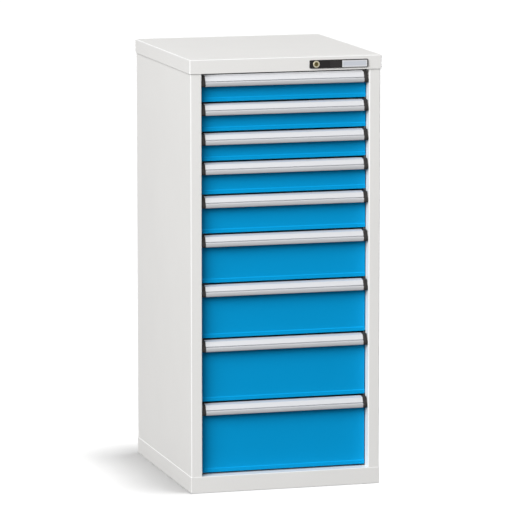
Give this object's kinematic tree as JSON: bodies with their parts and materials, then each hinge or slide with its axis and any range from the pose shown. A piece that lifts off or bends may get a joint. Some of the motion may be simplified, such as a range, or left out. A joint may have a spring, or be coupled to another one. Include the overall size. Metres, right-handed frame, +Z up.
{
  "type": "workshop drawer cabinet",
  "caption": "Tall free-standing workshop cabinet of sheet steel with stacked drawers, full-width handle rails and one central lock.",
  "frame": {"origin": "on the floor, under the middle of the cabinet's bounding box", "axes": "+Z up, +X to the right seen from the front, front and drawers towards -Y"},
  "size_m": [0.591, 0.6618, 1.3],
  "materials": {
    "light_grey_powder_coat": "fine-textured satin powder coat",
    "blue_powder_coat": "satin powder coat",
    "anodised_aluminium": "satin anodised extrusion",
    "black_plastic": "moulded, fine grain",
    "zinc_plated_steel": "zinc-plated sheet",
    "label_card": "blank card behind a clear cover",
    "nickel_plated_lock": "satin nickel plate",
    "brass_lock_plug": "dulled brass"
  },
  "bodies": {
    "cabinet": {"left_side_panel": "light_grey_powder_coat", "right_side_panel": "light_grey_powder_coat", "back_panel": "light_grey_powder_coat", "top_cover": "light_grey_powder_coat", "base_plinth": "light_grey_powder_coat", "left_runner_wall": "zinc_plated_steel", "right_runner_wall": "zinc_plated_steel", "lock_strip": "black_plastic", "label_card": "label_card", "lock_barrel": "nickel_plated_lock"},
    "drawer_1": {"drawer_1_tray": "zinc_plated_steel", "drawer_1_front": "blue_powder_coat", "drawer_1_handle": "anodised_aluminium", "drawer_1_left_cap": "black_plastic", "drawer_1_right_cap": "black_plastic"},
    "drawer_2": {"drawer_2_tray": "zinc_plated_steel", "drawer_2_front": "blue_powder_coat", "drawer_2_handle": "anodised_aluminium", "drawer_2_left_cap": "black_plastic", "drawer_2_right_cap": "black_plastic"},
    "drawer_3": {"drawer_3_tray": "zinc_plated_steel", "drawer_3_front": "blue_powder_coat", "drawer_3_handle": "anodised_aluminium", "drawer_3_left_cap": "black_plastic", "drawer_3_right_cap": "black_plastic"},
    "drawer_4": {"drawer_4_tray": "zinc_plated_steel", "drawer_4_front": "blue_powder_coat", "drawer_4_handle": "anodised_aluminium", "drawer_4_left_cap": "black_plastic", "drawer_4_right_cap": "black_plastic"},
    "drawer_5": {"drawer_5_tray": "zinc_plated_steel", "drawer_5_front": "blue_powder_coat", "drawer_5_handle": "anodised_aluminium", "drawer_5_left_cap": "black_plastic", "drawer_5_right_cap": "black_plastic"},
    "drawer_6": {"drawer_6_tray": "zinc_plated_steel", "drawer_6_front": "blue_powder_coat", "drawer_6_handle": "anodised_aluminium", "drawer_6_left_cap": "black_plastic", "drawer_6_right_cap": "black_plastic"},
    "drawer_7": {"drawer_7_tray": "zinc_plated_steel", "drawer_7_front": "blue_powder_coat", "drawer_7_handle": "anodised_aluminium", "drawer_7_left_cap": "black_plastic", "drawer_7_right_cap": "black_plastic"},
    "drawer_8": {"drawer_8_tray": "zinc_plated_steel", "drawer_8_front": "blue_powder_coat", "drawer_8_handle": "anodised_aluminium", "drawer_8_left_cap": "black_plastic", "drawer_8_right_cap": "black_plastic"},
    "drawer_9": {"drawer_9_tray": "zinc_plated_steel", "drawer_9_front": "blue_powder_coat", "drawer_9_handle": "anodised_aluminium", "drawer_9_left_cap": "black_plastic", "drawer_9_right_cap": "black_plastic"},
    "lock_core": {"lock_core": "brass_lock_plug"},
    "lock_bar": {"lock_bar": "zinc_plated_steel"}
  },
  "joints": [
    {"name": "drawer_1_slide", "type": "slide", "parent": "cabinet", "child": "drawer_1", "axis": [0, -1, 0], "range_m": [0, 0.42]},
    {"name": "drawer_2_slide", "type": "slide", "parent": "cabinet", "child": "drawer_2", "axis": [0, -1, 0], "range_m": [0, 0.42]},
    {"name": "drawer_3_slide", "type": "slide", "parent": "cabinet", "child": "drawer_3", "axis": [0, -1, 0], "range_m": [0, 0.42]},
    {"name": "drawer_4_slide", "type": "slide", "parent": "cabinet", "child": "drawer_4", "axis": [0, -1, 0], "range_m": [0, 0.42]},
    {"name": "drawer_5_slide", "type": "slide", "parent": "cabinet", "child": "drawer_5", "axis": [0, -1, 0], "range_m": [0, 0.42]},
    {"name": "drawer_6_slide", "type": "slide", "parent": "cabinet", "child": "drawer_6", "axis": [0, -1, 0], "range_m": [0, 0.42]},
    {"name": "drawer_7_slide", "type": "slide", "parent": "cabinet", "child": "drawer_7", "axis": [0, -1, 0], "range_m": [0, 0.42]},
    {"name": "drawer_8_slide", "type": "slide", "parent": "cabinet", "child": "drawer_8", "axis": [0, -1, 0], "range_m": [0, 0.42]},
    {"name": "drawer_9_slide", "type": "slide", "parent": "cabinet", "child": "drawer_9", "axis": [0, -1, 0], "range_m": [0, 0.42]},
    {"name": "lock_turn", "type": "hinge", "parent": "cabinet", "child": "lock_core", "pos_m": [0.0911, -0.3221, 1.2773], "axis": [0, 1, 0], "range_deg": [0, 90]},
    {"name": "lock_bar_slide", "type": "slide", "parent": "cabinet", "child": "lock_bar", "axis": [0, 0, -1], "range_m": [0, 0.008]}
  ],
  "couplings": [
    {"joint": "lock_turn", "follows": "lock_bar_slide", "rad_per_m": 196.3}
  ]
}
